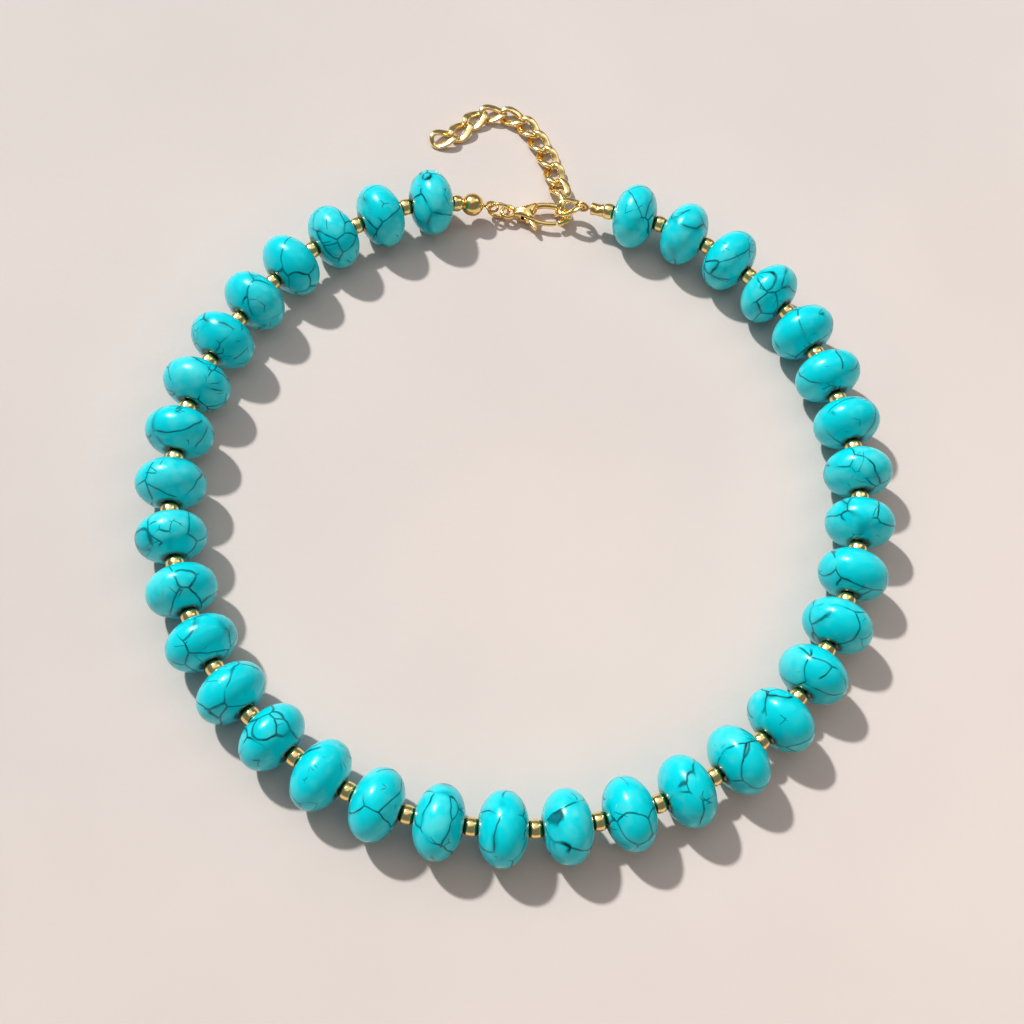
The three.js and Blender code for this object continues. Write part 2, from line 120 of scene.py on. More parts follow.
# The camera: the point that it looks at, in metres, and its lens and sensor in mm
TARGET = Vector((-0.9, -13.07, 0)) * MM
LENS, SENSOR = 55.3, 36

# Settings that several nodes share
SUM = {"operation": "ADD"}
DIFFERENCE = {"operation": "SUBTRACT"}
PRODUCT = {"operation": "MULTIPLY"}
SCALED = {"operation": "SCALE"}
LARGER = {"operation": "MAXIMUM"}
SMOOTH = {"interpolation_type": "SMOOTHSTEP"}
COLOURS = {"data_type": "RGBA"}


# Settings

class RondelleSettings(bpy.types.PropertyGroup):
    """Sizes and colours of the stone beads"""
    diameter: bpy.props.FloatProperty(
        name="Diameter", description="Bead's diameter across the drilled hole",
        default=12.05 * MM, unit="LENGTH", precision=5)
    thickness: bpy.props.FloatProperty(
        name="Thickness", description="Bead's length along the drilled hole",
        default=7.85 * MM, unit="LENGTH", precision=5)
    bore: bpy.props.FloatProperty(
        name="Bore", description="Diameter of the drilled hole",
        default=1.3 * MM, unit="LENGTH", precision=5)
    dimple: bpy.props.FloatProperty(
        name="Dimple", description="Diameter of the worn dimple round the hole",
        default=3.1 * MM, unit="LENGTH", precision=5)
    unevenness: bpy.props.FloatProperty(
        name="Unevenness", description="How far tumbling leaves the bead off its true form",
        default=0.035 * MM, unit="LENGTH", precision=5)
    stone: bpy.props.StringProperty(
        name="Stone", description="Dyed stone's colour as sRGB hex", default="#00D0DC")
    pale: bpy.props.StringProperty(
        name="Pale stone", description="Colour where the stone took less dye, as sRGB hex",
        default="#5FDCDC")
    smoke: bpy.props.StringProperty(
        name="Smoke", description="Colour of the dark bloom beside a vein, as sRGB hex",
        default="#04707A")
    vein: bpy.props.StringProperty(
        name="Vein", description="Colour of the veins, as sRGB hex", default="#07606A")
    # Near-black of the veins' cores, which is the stone's own, and the painted shade of the drilled
    # mouths
    matrix: bpy.props.StringProperty(
        name="Matrix", description="Colour of the veins' cores and the drilled mouths, as sRGB hex",
        default="#04211F")
    vein_width: bpy.props.FloatProperty(
        name="Vein width", description="Width of a main vein",
        default=0.19 * MM, unit="LENGTH", precision=5)
    vein_spacing: bpy.props.FloatProperty(
        name="Vein spacing", description="Usual distance from one main vein to the next",
        default=7.0 * MM, unit="LENGTH", precision=5)


class GoldSettings(bpy.types.PropertyGroup):
    """Sizes and colours of the plated findings"""
    spacer_diameter: bpy.props.FloatProperty(
        name="Spacer diameter", description="Diameter of a spacer bead",
        default=3.1 * MM, unit="LENGTH", precision=5)
    spacer_length: bpy.props.FloatProperty(
        name="Spacer length", description="Length of a spacer bead along the wire",
        default=2.6 * MM, unit="LENGTH", precision=5)
    wire: bpy.props.FloatProperty(
        name="Beading wire", description="Diameter of the beading wire",
        default=0.5 * MM, unit="LENGTH", precision=5)
    gold: bpy.props.StringProperty(
        name="Gold", description="Polished plating's colour as sRGB hex", default="#FFD786")
    chain_gold: bpy.props.StringProperty(
        name="Chain gold", description="Chain plating's colour as sRGB hex", default="#FFDE95")
    spacer_gold: bpy.props.StringProperty(
        name="Spacer gold", description="Spacers' plating colour as sRGB hex", default="#FFE095")


class StageSettings(bpy.types.PropertyGroup):
    """The surface that the necklace lies on, the light and the camera"""
    surface: bpy.props.StringProperty(
        name="Surface", description="Plaster's colour as sRGB hex", default="#CBC4C0")
    sun_height: bpy.props.FloatProperty(
        name="Sun height", description="Angle of the main light above the surface",
        default=math.radians(50), subtype="ANGLE")
    sun_bearing: bpy.props.FloatProperty(
        name="Sun bearing", description="Where the main light stands, turned from +X",
        default=math.radians(137), subtype="ANGLE")
    camera_height: bpy.props.FloatProperty(
        name="Camera height", description="Angle of the camera above the surface",
        default=math.radians(63.08), subtype="ANGLE")
    camera_bearing: bpy.props.FloatProperty(
        name="Camera bearing", description="How far the camera stands round from the front",
        default=math.radians(-4.4), subtype="ANGLE")
    camera_roll: bpy.props.FloatProperty(
        name="Camera roll", description="How far the camera is rolled on its own axis",
        default=0.133, subtype="ANGLE")
    camera_distance: bpy.props.FloatProperty(
        name="Camera distance", description="From the camera to the point that it looks at",
        default=275.3 * MM, unit="LENGTH")


# Nodes and colours

def linear(hex_colour):
    """Linear RGBA of an sRGB hex colour: v/12.92 below 0.04045, else ((v + 0.055)/1.055)^2.4."""
    values = [int(hex_colour[i:i + 2], 16) / 255 for i in (1, 3, 5)]
    return [v / 12.92 if v <= 0.04045 else ((v + 0.055) / 1.055) ** 2.4 for v in values] + [1.0]


def add(tree, kind, settings=None, **links):
    """Adds a node, sets its own settings, and gives its inputs values or links. An input goes by its
    name, or by its place as i0, i1 and so on."""
    node = tree.nodes.new(kind)
    for name, value in (settings or {}).items():
        setattr(node, name, value)
    for name, value in links.items():
        key = int(name[1:]) if name[0] == "i" and name[1:].isdigit() else name.replace("_", " ")
        socket = node.inputs[key]
        if isinstance(value, bpy.types.NodeSocket):
            tree.links.new(value, socket)
        else:
            socket.default_value = value
    return node


def new_material(name):
    """An empty material with its output, and the Principled shader that feeds it."""
    material = bpy.data.materials.new(name)
    material.use_nodes = True
    tree = material.node_tree
    tree.nodes.clear()
    shader = add(tree, "ShaderNodeBsdfPrincipled")
    add(tree, "ShaderNodeOutputMaterial", Surface=shader.outputs[0])
    return material, tree, shader


def set_values(shader, values):
    """Sets the shader's own sockets to values that are the same all over the surface."""
    for name, value in values.items():
        shader.inputs[name].default_value = value


# Materials

def dyed_howlite():
    """Howlite dyed turquoise and tumbled to a high polish: an even, saturated blue-green body with
    thin dark teal veins that bend, fork and fade, near-black at their cores, a smoky bloom beside
    some of them, paler fields between veins where the dye took less, painted shade in the drilled
    mouths, and a wet-looking polish over all of it."""
    s = bpy.context.scene.rondelle_settings
    material, tree, shader = new_material("dyed_howlite_tumbled")
    place = add(tree, "ShaderNodeTexCoord").outputs["Object"]

    def wander(size, reach, source):
        """source, moved about by noise of the given size, up to half of reach each way."""
        noise = add(tree, "ShaderNodeTexNoise", Vector=source, Scale=1 / size, Detail=2.0)
        centred = add(tree, "ShaderNodeVectorMath", DIFFERENCE,
                      i0=noise.outputs["Color"], i1=(0.5, 0.5, 0.5))
        scaled = add(tree, "ShaderNodeVectorMath", SCALED, i0=centred.outputs[0], Scale=reach)
        moved = add(tree, "ShaderNodeVectorMath", SUM, i0=source, i1=scaled.outputs[0])
        return moved.outputs[0]

    def patches(size, low, high, offset):
        """1 where noise of the given size is above high, 0 where it is below low."""
        moved = add(tree, "ShaderNodeVectorMath", SUM, i0=place, i1=(offset, offset, offset))
        noise = add(tree, "ShaderNodeTexNoise", Vector=moved.outputs[0], Scale=1 / size, Detail=1.5)
        shown = add(tree, "ShaderNodeMapRange", SMOOTH,
                    Value=noise.outputs["Fac"], From_Min=low, From_Max=high)
        return shown.outputs[0]

    def veins(spacing, width, source):
        """1 on the borders of cells with the given spacing, then the distance from the nearest
        border as a share of the spacing, and a colour that differs from cell to cell."""
        edge = add(tree, "ShaderNodeTexVoronoi", {"feature": "DISTANCE_TO_EDGE"},
                   Vector=source, Scale=1 / spacing)
        cell = add(tree, "ShaderNodeTexVoronoi", Vector=source, Scale=1 / spacing)
        half = width / 2 / spacing
        distance = edge.outputs["Distance"]
        line = add(tree, "ShaderNodeMapRange", SMOOTH,
                   Value=distance, From_Min=half * 2.2, From_Max=half * 0.6)
        return line.outputs[0], distance, cell.outputs["Color"]

    bent = wander(5 * MM, 1.2 * MM, wander(10 * MM, 2.6 * MM, place))
    crinkled = wander(1.5 * MM, 0.2 * MM, bent)
    main, distance, shade = veins(s.vein_spacing, s.vein_width, crinkled)
    fine, _, _ = veins(s.vein_spacing * 0.5, s.vein_width * 0.5, crinkled)
    main_shown = add(tree, "ShaderNodeMath", PRODUCT,
                     i0=main, i1=patches(5.0 * MM, 0.4, 0.5, 0.3)).outputs[0]
    fine_shown = add(tree, "ShaderNodeMath", PRODUCT,
                     i0=fine, i1=patches(4.0 * MM, 0.58, 0.66, 0.7)).outputs[0]
    vein = add(tree, "ShaderNodeMath", LARGER, i0=main_shown, i1=fine_shown).outputs[0]

    # The cores are the inner half of some main veins, and the bloom reaches 0.9 mm from others
    half = s.vein_width / s.vein_spacing / 2
    middle = add(tree, "ShaderNodeMapRange", SMOOTH,
                 Value=distance, From_Min=half, From_Max=half * 0.3)
    core = add(tree, "ShaderNodeMath", PRODUCT,
               i0=middle.outputs[0], i1=patches(2.5 * MM, 0.5, 0.64, 1.5))
    beside = add(tree, "ShaderNodeMapRange", SMOOTH, Value=distance, From_Min=0.13, From_Max=0.0)
    bloom = add(tree, "ShaderNodeMath", PRODUCT,
                i0=beside.outputs[0], i1=patches(4.0 * MM, 0.48, 0.76, 1.1))

    # Where the dye took less: soft clouds, and some cells, which fade out towards their borders
    cloud = add(tree, "ShaderNodeMath", PRODUCT, i0=patches(3.0 * MM, 0.5, 0.78, 1.9), i1=0.35)
    chosen = add(tree, "ShaderNodeMapRange", SMOOTH, Value=shade, From_Min=0.62, From_Max=0.7)
    inside = add(tree, "ShaderNodeMapRange", SMOOTH, Value=distance, From_Min=0.0, From_Max=0.14)
    inner = add(tree, "ShaderNodeMath", PRODUCT, i0=chosen.outputs[0], i1=inside.outputs[0])
    broken = add(tree, "ShaderNodeMath", PRODUCT,
                 i0=inner.outputs[0], i1=patches(2.2 * MM, 0.3, 0.65, 2.3))
    pale_cell = add(tree, "ShaderNodeMath", PRODUCT, i0=broken.outputs[0], i1=0.5)
    paler = add(tree, "ShaderNodeMath", LARGER, i0=cloud.outputs[0], i1=pale_cell.outputs[0])

    body = add(tree, "ShaderNodeMix", COLOURS,
               i0=paler.outputs[0], i6=linear(s.stone), i7=linear(s.pale))
    smoke = add(tree, "ShaderNodeMath", PRODUCT, i0=bloom.outputs[0], i1=0.55)
    smoked = add(tree, "ShaderNodeMix", COLOURS,
                 i0=smoke.outputs[0], i6=body.outputs[2], i7=linear(s.smoke))
    stain = add(tree, "ShaderNodeMath", PRODUCT, i0=vein, i1=0.88)
    veined = add(tree, "ShaderNodeMix", COLOURS,
                 i0=stain.outputs[0], i6=smoked.outputs[2], i7=linear(s.vein))
    dark = add(tree, "ShaderNodeMath", PRODUCT, i0=core.outputs[0], i1=main_shown)
    cored = add(tree, "ShaderNodeMix", COLOURS,
                i0=dark.outputs[0], i6=veined.outputs[2], i7=linear(s.matrix))

    # Painted shade in the drilled mouths' recess, where the mouth attribute is high, with a slightly
    # ragged edge
    mouth = add(tree, "ShaderNodeAttribute", {"attribute_name": "mouth"}).outputs["Fac"]
    rough = add(tree, "ShaderNodeMath", PRODUCT, i0=patches(1.5 * MM, 0.3, 0.7, 2.9), i1=0.15)
    ragged = add(tree, "ShaderNodeMath", SUM, i0=mouth, i1=rough.outputs[0])
    near = add(tree, "ShaderNodeMapRange", SMOOTH,
               Value=ragged.outputs[0], From_Min=0.2, From_Max=1.05)
    painted_mouth_shade = add(tree, "ShaderNodeMath", PRODUCT, i0=near.outputs[0], i1=0.93)
    colour = add(tree, "ShaderNodeMix", COLOURS,
                 i0=painted_mouth_shade.outputs[0], i6=cored.outputs[2], i7=linear(s.matrix))

    depth = add(tree, "ShaderNodeMath", PRODUCT, i0=vein, i1=-1.0)
    sunk = add(tree, "ShaderNodeBump", Strength=0.3, Distance=0.03 * MM, Height=depth.outputs[0])
    tree.links.new(colour.outputs[2], shader.inputs["Base Color"])
    tree.links.new(sunk.outputs[0], shader.inputs["Normal"])
    set_values(shader, {
        "Roughness": 0.24, "IOR": 1.59, "Specular IOR Level": 0.3,
        "Specular Tint": (0.4, 1.0, 1.0, 1.0), "Coat Weight": 0.15, "Coat Roughness": 0.07,
        "Subsurface Weight": 0.08, "Subsurface Radius": (0.2, 0.8, 1.0),
        "Subsurface Scale": 0.9 * MM})
    return material


def plated_gold(name, hex_colour, roughness, grain):
    """Brass with a polished pale gold plating: a warm mirror that goes nearly black where it meets
    something dark, with the slight waviness of a small stamped or rolled piece. grain is the size
    in metres of that waviness."""
    material, tree, shader = new_material(name)
    place = add(tree, "ShaderNodeTexCoord").outputs["Object"]
    wave = add(tree, "ShaderNodeTexNoise", Vector=place, Scale=1 / grain, Detail=2.0)
    dent = add(tree, "ShaderNodeBump",
               Strength=0.25, Distance=0.04 * MM, Height=wave.outputs["Fac"])
    rub = add(tree, "ShaderNodeTexNoise", Vector=place, Scale=1 / (0.4 * MM), Detail=3.0)
    worn = add(tree, "ShaderNodeMapRange", Value=rub.outputs["Fac"], From_Min=0.35, From_Max=0.7,
               To_Min=roughness, To_Max=roughness + 0.1)
    tree.links.new(dent.outputs[0], shader.inputs["Normal"])
    tree.links.new(worn.outputs["Result"], shader.inputs["Roughness"])
    set_values(shader, {"Base Color": linear(hex_colour), "Metallic": 1.0})
    return material


def gold_wire():
    """Nylon-coated gold-coloured beading wire: a soft gloss with its strands' fine rope lay."""
    material, tree, shader = new_material("coated_beading_wire")
    place = add(tree, "ShaderNodeTexCoord").outputs["Object"]
    lay = add(tree, "ShaderNodeTexWave", {"wave_type": "BANDS", "bands_direction": "DIAGONAL"},
              Vector=place, Scale=1 / (3.5 * MM), Distortion=0.5)
    strands = add(tree, "ShaderNodeBump",
                  Strength=0.3, Distance=0.03 * MM, Height=lay.outputs["Fac"])
    tree.links.new(strands.outputs[0], shader.inputs["Normal"])
    set_values(shader, {"Base Color": linear("#C79A4C"), "Metallic": 0.9, "Roughness": 0.32})
    return material


def pale_plaster():
    """Smooth trowelled plaster: pale, warm and matt, with faint clouds and a fine sandy tooth."""
    s = bpy.context.scene.stage_settings
    material, tree, shader = new_material("trowelled_plaster")
    place = add(tree, "ShaderNodeTexCoord").outputs["Object"]
    noise = add(tree, "ShaderNodeTexNoise", Vector=place, Scale=1 / (60 * MM), Detail=3.0)
    cloud = add(tree, "ShaderNodeMapRange", SMOOTH,
                Value=noise.outputs["Fac"], From_Min=0.3, From_Max=0.7)
    light = linear(s.surface)
    dark = [value * 0.96 for value in light[:3]] + [1.0]
    colour = add(tree, "ShaderNodeMix", COLOURS, i0=cloud.outputs[0], i6=dark, i7=light)
    tooth = add(tree, "ShaderNodeTexNoise", Vector=place, Scale=1 / (1.6 * MM), Detail=4.0)
    grit = add(tree, "ShaderNodeBump",
               Strength=0.4, Distance=0.12 * MM, Height=tooth.outputs["Fac"])
    tree.links.new(colour.outputs[2], shader.inputs["Base Color"])
    tree.links.new(grit.outputs[0], shader.inputs["Normal"])
    set_values(shader, {"Roughness": 0.85, "Specular IOR Level": 0.2})
    return material


# Shapes as grids of points

def grid_mesh(points, closed_u=True):
    """Corners and quads of a grid of points[u, v]: each quad joins a point to its next neighbour
    along u and v, going round along v, and along u where that is closed."""
    rows, columns = points.shape[:2]
    u = np.arange(rows if closed_u else rows - 1)
    uu, vv = np.meshgrid(u, np.arange(columns), indexing="ij")
    nu, nv = (uu + 1) % rows, (vv + 1) % columns
    quads = np.stack([uu * columns + vv, nu * columns + vv,
                      nu * columns + nv, uu * columns + nv], -1)
    return points.reshape(-1, 3), quads.reshape(-1, 4)


def capped(points):
    """Closes a tube of points[u, v], open along u, with a point in the middle of each end."""
    corners, quads = grid_mesh(points, closed_u=False)
    rows, columns = points.shape[:2]
    v = np.arange(columns)
    start, end = len(corners), len(corners) + 1
    first = np.stack([np.full(columns, start), v, (v + 1) % columns], -1)
    last_row = (rows - 1) * columns
    last = np.stack([np.full(columns, end), last_row + (v + 1) % columns, last_row + v], -1)
    corners = np.vstack([corners, points[0].mean(0), points[-1].mean(0)])
    return corners, quads, np.vstack([first, last])


def volume(corners, quads, triangles):
    """Signed volume: the sum over faces of a . (b x c) / 6, with each quad as two triangles."""
    halves = np.vstack([quads[:, [0, 1, 2]], quads[:, [0, 2, 3]], triangles])
    a, b, c = (corners[halves[:, i]] for i in range(3))
    return np.einsum("ij,ij->i", a, np.cross(b, c)).sum() / 6


def add_piece(name, shells, material, body="necklace", node=None, mouth=None):
    """Joins closed shells of (corners, quads, triangles) in mm into one smooth mesh in metres,
    faces outwards, that rides on a body and stands for a CAD node. mouth is a value for each corner,
    how much painted shade the drilled mouth gets there, kept as an attribute of that name."""
    corners, loops, sizes = [], [], []
    offset = 0
    for shell in shells:
        points, quads, triangles = (*shell, np.empty((0, 3), int))[:3]
        if volume(points, quads, triangles) < 0:
            quads, triangles = quads[:, ::-1], triangles[:, ::-1]
        corners.append(points)
        loops += [(quads + offset).ravel(), (triangles + offset).ravel()]
        sizes += [np.full(len(quads), 4), np.full(len(triangles), 3)]
        offset += len(points)
    corners, loops, sizes = np.vstack(corners) * MM, np.concatenate(loops), np.concatenate(sizes)
    mesh = bpy.data.meshes.new(name)
    mesh.vertices.add(len(corners))
    mesh.vertices.foreach_set("co", corners.ravel())
    mesh.loops.add(len(loops))
    mesh.loops.foreach_set("vertex_index", loops)
    mesh.polygons.add(len(sizes))
    mesh.polygons.foreach_set("loop_start", np.concatenate([[0], np.cumsum(sizes)[:-1]]))
    mesh.update(calc_edges=True)
    mesh.validate()
    mesh.polygons.foreach_set("use_smooth", np.ones(len(mesh.polygons), bool))
    if mouth is not None:
        mesh.attributes.new("mouth", "FLOAT", "POINT").data.foreach_set("value", mouth)
    mesh.materials.append(material)
    piece = bpy.data.objects.new(name, mesh)
    bpy.context.collection.objects.link(piece)
    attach(piece, body)
    if node:
        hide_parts(node)
    return piece


def unit(vectors):
    """Each vector divided by its length."""
    return vectors / np.linalg.norm(vectors, axis=-1, keepdims=True)


def sweep(path, sides, across, depth, up, closed=False, round_ends=0, square=1):
    """A tube along path: at each point of the path the section is across cos(a) sideways and depth
    sin(a) upwards, square to the path's direction, with cos and sin raised to the power square,
    which makes an ellipse at 1 and a flatter section below it. With round_ends, the section shrinks
    over that many points at each end as sqrt(1 - t^2), which rounds the ends off."""
    if closed:
        ahead, behind = np.roll(path, -1, 0), np.roll(path, 1, 0)
        along = unit(ahead - behind)
    else:
        along = unit(np.gradient(path, axis=0))
    side = unit(np.cross(along, np.broadcast_to(up, along.shape)))
    lift = np.cross(side, along)
    a = np.linspace(0, TAU, sides, endpoint=False)
    across = np.broadcast_to(across, len(path))[:, None, None]
    depth = np.broadcast_to(depth, len(path))[:, None, None]
    sideways = (np.sign(np.cos(a)) * np.abs(np.cos(a)) ** square)[:, None]
    upwards = (np.sign(np.sin(a)) * np.abs(np.sin(a)) ** square)[:, None]
    ring = side[:, None] * sideways * across + lift[:, None] * upwards * depth
    if round_ends:
        t = np.clip(np.arange(len(path)) / round_ends, 0, 1)
        shrink = np.sqrt(1 - (1 - t) ** 2) * np.sqrt(1 - (1 - t[::-1]) ** 2)
        ring = ring * np.maximum(shrink, 0.02)[:, None, None]
    points = path[:, None] + ring
    return grid_mesh(points) if closed else capped(points)


def square_to(axis):
    """Two unit directions square to axis and to each other, the second as near to up as can be."""
    side = unit(np.cross(axis, UP))
    return side, np.cross(side, axis)


def around(axis, sides):
    """Even angles a round an axis, and the unit directions there: cos a sideways, sin a upwards."""
    side, lift = square_to(axis)
    a = np.linspace(0, TAU, sides, endpoint=False)
    return a, np.cos(a)[:, None] * side + np.sin(a)[:, None] * lift


def turned(radii, heights, sides, centre, axis):
    """A closed profile of radii and heights turned round an axis through centre."""
    _, ring = around(axis, sides)
    return grid_mesh(centre + heights[:, None, None] * axis + radii[:, None, None] * ring)


def pillow(outline, middle, low, high, edge, top=None, dome=None):
    """A cast, soft-edged plate: near its lower face the outline shrinks towards the middle point by
    e (1 - cos v) while the height falls by e sin v, and near its upper face by dome (1 - cos v)
    while the height rises by top sin v, where e is the edge radius. A wide dome and a high top make
    it swell."""
    top, dome = top or edge, dome or edge
    reach = outline - middle
    distance = np.linalg.norm(reach, axis=1)[:, None]
    v = np.linspace(0, math.pi / 2, 9)
    down = [(edge * (1 - math.cos(x)), low + edge - edge * math.sin(x)) for x in v[::-1]]
    up = [(dome * (1 - math.cos(x)), high - top + top * math.sin(x)) for x in v]
    rows = []
    for inwards, height in down + up:
        flat = middle + reach * np.maximum(1 - inwards / distance, 0.05)
        rows.append(np.column_stack([flat, np.full(len(flat), height)]))
    return capped(np.array(rows))


# Places read from the CAD parts

def corners_of(node):
    """The merged corners of a CAD node, in mm."""
    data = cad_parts[node].data
    points = np.empty(len(data.vertices) * 3)
    data.vertices.foreach_get("co", points)
    return np.unique(np.round(points.reshape(-1, 3) / MM, 3), axis=0)


def centre_and_axis(node):
    """Middle of a turned CAD solid in mm, and its axis: the direction whose spread stands apart
    from the other two."""
    points = corners_of(node)
    centre = points.mean(0)
    spread, directions = np.linalg.eigh(np.cov((points - centre).T))
    odd = 0 if spread[1] - spread[0] > spread[2] - spread[1] else 2
    return centre, directions[:, odd]


def string_points():
    """Middles of the beads in order along the string, their axes, all pointing along it, and the
    middles of the crimp ball and the crimp tube."""
    centres, axes = zip(*(centre_and_axis(name) for name in BEADS))
    centres, axes = np.array(centres), np.array(axes)
    onward = np.gradient(centres, axis=0)
    axes *= np.sign(np.einsum("ij,ij->i", axes, onward))[:, None]
    ball, tube = corners_of("crimp_ball").mean(0), corners_of("crimp_tube").mean(0)
    return centres, axes, ball, tube


def curve_through(start, end, start_way, end_way, share):
    """Cubic from start to end that leaves and arrives along the given unit directions, with handles
    of a third of the chord, at each share from 0 to 1."""
    length = np.linalg.norm(end - start)
    t = np.asarray(share)[:, None]
    b, c = start + start_way * length / 3, end - end_way * length / 3
    return (1 - t) ** 3 * start + 3 * (1 - t) ** 2 * t * b + 3 * (1 - t) * t ** 2 * c + t ** 3 * end


def end_loop(finding, beyond, clear):
    """Middle and axis of the wire's end loop: the middle and the flattest direction of the CAD
    corners that lie past the finding, further than clear from its middle and within 7 mm of it."""
    points = corners_of("wire_and_spacers")
    past = (points - finding) @ beyond > clear
    near = np.linalg.norm(points - finding, axis=1) < 7
    loop = points[past & near]
    middle = (loop.min(0) + loop.max(0)) / 2
    _, _, directions = np.linalg.svd(loop - loop.mean(0))
    return middle, directions[2]


# Operators, one for each piece or group of like pieces

class NECKLACE_OT_add_rondelles(bpy.types.Operator):
    """Add the drilled stone rondelles in place of the plain beads"""
    bl_idname = "necklace.add_rondelles"
    bl_label = "Add Stone Rondelles"

    def execute(self, context):
        s = context.scene.rondelle_settings
        stone = dyed_howlite()
        centres, axes, _, _ = string_points()
        radii, heights = rondelle_profile(s)
        # Painted shade round each drilled mouth: full near the bore, fading smoothly to none at its
        # reach from the axis
        share = np.clip((MOUTH_SHADE_REACH - radii) / MOUTH_SHADE_FADE, 0, 1)
        mouth = np.repeat(share ** 2 * (3 - 2 * share), ROUND)
        for number, (name, centre, axis) in enumerate(zip(BEADS, centres, axes)):
            shell = rondelle_shell(radii, heights, centre, axis, number, s.unevenness / MM)
            add_piece("stone_" + name, [shell], stone, node=name, mouth=mouth)
        return {"FINISHED"}


def rondelle_profile(s):
    """Closed half-section in mm, from the bore's far end round the outside and back along the bore.
    The outside is the superellipse (r/R)^2.1 + (h/H)^2.1 = 1, with H set so that it meets the
    dimple's edge at half the thickness; a rounded lip joins it to the dimple and the bore."""
    power = 2.1
    radius, half = s.diameter / 2 / MM, s.thickness / 2 / MM
    bore, dimple = s.bore / 2 / MM, s.dimple / 2 / MM
    rim = (1 - (dimple / radius) ** power) ** (1 / power)
    height = half / rim
    last = math.asin(rim ** (power / 2))
    angle = np.linspace(-last, last, 45)
    r = radius * np.cos(angle) ** (2 / power)
    h = np.sign(angle) * height * np.abs(np.sin(angle)) ** (2 / power)
    t = np.linspace(0, 1, 7)[1:]
    lip_r = dimple + (bore - dimple) * t
    lip_h = half - LIP_DEPTH * t ** 1.7
    wall = np.linspace(half - LIP_DEPTH, LIP_DEPTH - half, 8)[1:-1]
    r = np.concatenate([r, lip_r, np.full(len(wall), bore), lip_r[::-1]])
    h = np.concatenate([h, lip_h, wall, -lip_h[::-1]])
    return r, h


def rondelle_shell(radii, heights, centre, axis, number, unevenness):
    """The profile turned round the bead's axis, each point moved out by the unevenness times (r/R)^2
    times sin(2 a + p) cos(b) + 0.6 sin(3 a + q) - 0.6, where a goes round the axis, b is the
    latitude and p and q differ from bead to bead."""
    p, q = 2.4 * number, 1.7 * number + 1
    a, ring = around(axis, ROUND)
    latitude = np.arctan2(heights, radii)[:, None]
    outer = (radii[:, None] / radii.max()) ** 2
    wave = np.sin(2 * a + p) * np.cos(latitude) + 0.6 * np.sin(3 * a + q) - 0.6
    r = radii[:, None] + unevenness * outer * wave
    return grid_mesh(centre + heights[:, None, None] * axis + r[..., None] * ring)


class NECKLACE_OT_add_string(bpy.types.Operator):
    """Add the beading wire, its end loops and the gold spacers threaded on it"""
    bl_idname = "necklace.add_string"
    bl_label = "Add Wire and Spacers"

    def execute(self, context):
        s = context.scene.gold_settings
        wire = s.wire / 2 / MM
        centres, axes, ball, tube = string_points()
        out_left, out_right = unit(ball - centres[0]), unit(tube - centres[-1])
        left, left_axis = end_loop(ball, out_left, PAST_BALL)
        right, right_axis = end_loop(tube, out_right, PAST_TUBE)
        stops = np.vstack([left - unit(left - ball) * LOOP_RADIUS, ball, centres, tube,
                           right - unit(right - tube) * LOOP_RADIUS])
        ways = unit(np.gradient(stops, axis=0))
        ways[2:-2] = axes
        share = np.linspace(0, 1, 8, endpoint=False)
        path = [curve_through(stops[i], stops[i + 1], ways[i], ways[i + 1], share)
                for i in range(len(stops) - 1)]
        path = np.vstack([*path, stops[-1:]])
        shells = [sweep(path, 10, wire, wire, UP)]
        for middle, axis in ((left, left_axis), (right, right_axis)):
            shells.append(loop_of_wire(middle, axis, LOOP_RADIUS, wire))
        add_piece("beading_wire", shells, gold_wire())

        # Spacers sit midway between beads, along the string there, and half a pitch past the end ones
        pairs = zip(stops[2:-3], stops[3:-2], axes[:-1], axes[1:])
        places = [curve_through(a, b, u, v, (0.47, 0.5, 0.53)) for a, b, u, v in pairs]
        half_pitch = np.linalg.norm(centres[1] - centres[0]) / 2
        for first, last, way in ((centres[0], ball, -axes[0]), (centres[-1], tube, axes[-1])):
            share = half_pitch / np.linalg.norm(last - first)
            places.append(curve_through(first, last, way, unit(last - first),
                                        (share - 0.03, share, share + 0.03)))
        radius, half = s.spacer_diameter / 2 / MM, s.spacer_length / 2 / MM
        radii, heights = spacer_profile(radius, half, wire + 0.1)
        spacers = [turned(radii, heights, 40, place[1], unit(place[2] - place[0]))
                   for place in places]
        gold = plated_gold("gold_plated_brass_polished", s.spacer_gold, 0.15, 1.4 * MM)
        add_piece("gold_spacers", spacers, gold, node="wire_and_spacers")
        return {"FINISHED"}


def loop_of_wire(middle, axis, radius, wire):
    """A ring of round wire: the circle of the given radius square to axis, swept by the wire's
    section. Where it starts doesn't matter."""
    side = unit(np.cross(axis, (0.3, 0.5, 0.8)))
    lift = np.cross(axis, side)
    a = np.linspace(0, TAU, 40, endpoint=False)[:, None]
    path = middle + radius * (np.cos(a) * side + np.sin(a) * lift)
    return sweep(path, 10, wire, wire, axis, closed=True)


def spacer_profile(radius, half, bore):
    """Closed half-section of a turned spacer: the barrel r = R (1 - (h/H)^2.7)^(1/2.7), from one
    mouth of the bore to the other, and back along the bore."""
    power = 2.7
    last = math.acos((bore / radius) ** (power / 2))
    angle = np.linspace(-last, last, 22)
    r = radius * np.cos(angle) ** (2 / power)
    h = np.sign(angle) * half * np.abs(np.sin(angle)) ** (2 / power)
    wall = np.linspace(h[-1], h[0], 5)[1:-1]
    return np.concatenate([r, np.full(3, bore)]), np.concatenate([h, wall])


